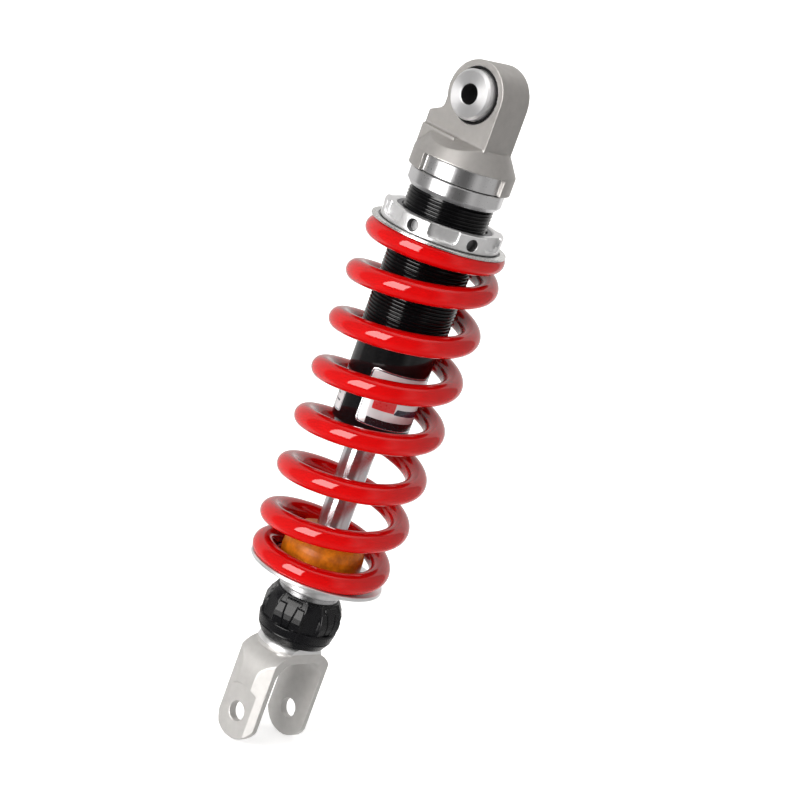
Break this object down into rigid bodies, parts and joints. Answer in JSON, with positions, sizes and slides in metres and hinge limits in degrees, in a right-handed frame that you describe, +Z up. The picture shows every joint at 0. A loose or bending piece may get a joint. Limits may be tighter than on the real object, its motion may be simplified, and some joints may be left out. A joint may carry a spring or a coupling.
{
  "type": "rear shock absorber",
  "caption": "Coil-over rear shock absorber with an eye and bush at the top, a threaded preload collar, a red coil spring, a rebound adjuster knob and a forked clevis.",
  "frame": {"origin": "centre of the clevis bolt hole, midway between the ears", "axes": "+Z up the damper axis to the top eye; +X along both bolt holes; +Y towards the head's gas plug"},
  "size_m": [0.0746, 0.0746, 0.3653],
  "materials": {
    "cast_aluminium": "fine blasted, matt",
    "turned_aluminium": "turned, bright",
    "polished_aluminium": "machined, bright",
    "black_anodised": "hard black anodised, gloss",
    "hard_chrome": "ground and chromed",
    "steel": "machined steel",
    "blued_steel": "oiled spring steel",
    "zinc_steel": "zinc plated, bright",
    "spring_red": "gloss powder coat",
    "bronze": "sintered bearing bronze",
    "black_rubber": "nitrile rubber, satin",
    "amber_polyurethane": "cast polyurethane, satin",
    "black_plastic": "moulded, satin",
    "white_ptfe": "filled fluoropolymer"
  },
  "bodies": {
    "body_assembly": {"top_cap": "cast_aluminium", "gas_plug": "steel", "gas_plug_seal": "bronze", "body_lock_ring": "turned_aluminium", "damper_body": "black_anodised", "cap_o_ring": "black_rubber", "eye_bush": "bronze", "eye_seals": "black_rubber", "rod_guide": "turned_aluminium", "guide_bush": "bronze", "guide_o_ring": "black_rubber", "rod_seal": "black_rubber", "guide_circlip": "blued_steel", "end_cap": "black_anodised", "rod_wiper": "black_rubber"},
    "eye_sleeve_assembly": {"eye_sleeve": "steel", "eye_collars": "turned_aluminium"},
    "floating_piston_assembly": {"floating_piston": "turned_aluminium", "floating_piston_ring": "black_rubber"},
    "spring_washer_assembly": {"spring_washer": "zinc_steel", "coil_spring": "spring_red"},
    "preload_nut_assembly": {"preload_nut": "polished_aluminium", "nut_snap_ring": "blued_steel"},
    "rod_assembly": {"piston_rod": "hard_chrome", "top_out_bumper": "black_rubber", "stop_washer": "steel", "compression_shims": "blued_steel", "main_piston": "turned_aluminium", "piston_band": "white_ptfe", "rebound_shims": "blued_steel", "piston_nut": "steel", "bump_stop": "amber_polyurethane", "bump_washer": "steel", "lower_spring_seat": "polished_aluminium", "seat_spacer": "steel", "click_spring": "blued_steel", "click_ball": "steel", "clevis": "cast_aluminium"},
    "rebound_knob_assembly": {"rebound_knob": "black_plastic"},
    "rebound_needle_assembly": {"rebound_needle": "steel", "adjuster_pin": "steel"}
  },
  "joints": [
    {"name": "preload_travel", "type": "slide", "parent": "body_assembly", "child": "spring_washer_assembly", "axis": [0, 0, 1], "range_m": [-0.006, 0.004], "deforming": ["coil_spring"]},
    {"name": "nut_spin", "type": "hinge", "parent": "spring_washer_assembly", "child": "preload_nut_assembly", "pos_m": [0, 0, 0.267], "axis": [0, 0, 1], "range_deg": [-1235, 823.5]},
    {"name": "stroke", "type": "slide", "parent": "body_assembly", "child": "rod_assembly", "axis": [0, 0, 1], "range_m": [0, 0.054], "stiffness_N_per_m": 90000, "springref_m": -0.01, "deforming": ["coil_spring"]},
    {"name": "floating_piston_slide", "type": "slide", "parent": "body_assembly", "child": "floating_piston_assembly", "axis": [0, 0, 1], "range_m": [0, 0.0108]},
    {"name": "rebound_knob_spin", "type": "hinge", "parent": "rod_assembly", "child": "rebound_knob_assembly", "pos_m": [0, 0, 0.055], "axis": [0, 0, 1], "range_deg": [-150.5, 150.5]},
    {"name": "needle_slide", "type": "slide", "parent": "rod_assembly", "child": "rebound_needle_assembly", "axis": [0, 0, 1], "range_m": [-0.00063, 0.00063]},
    {"name": "eye_sleeve_spin", "type": "hinge", "parent": "body_assembly", "child": "eye_sleeve_assembly", "pos_m": [0, 0, 0.3335], "axis": [1, 0, 0], "continuous": true}
  ],
  "couplings": [
    {"joint": "nut_spin", "follows": "preload_travel", "rad_per_m": 3590.4},
    {"joint": "floating_piston_slide", "follows": "stroke", "ratio": 0.19753},
    {"joint": "rebound_knob_spin", "follows": "needle_slide", "rad_per_m": 4188.8}
  ]
}
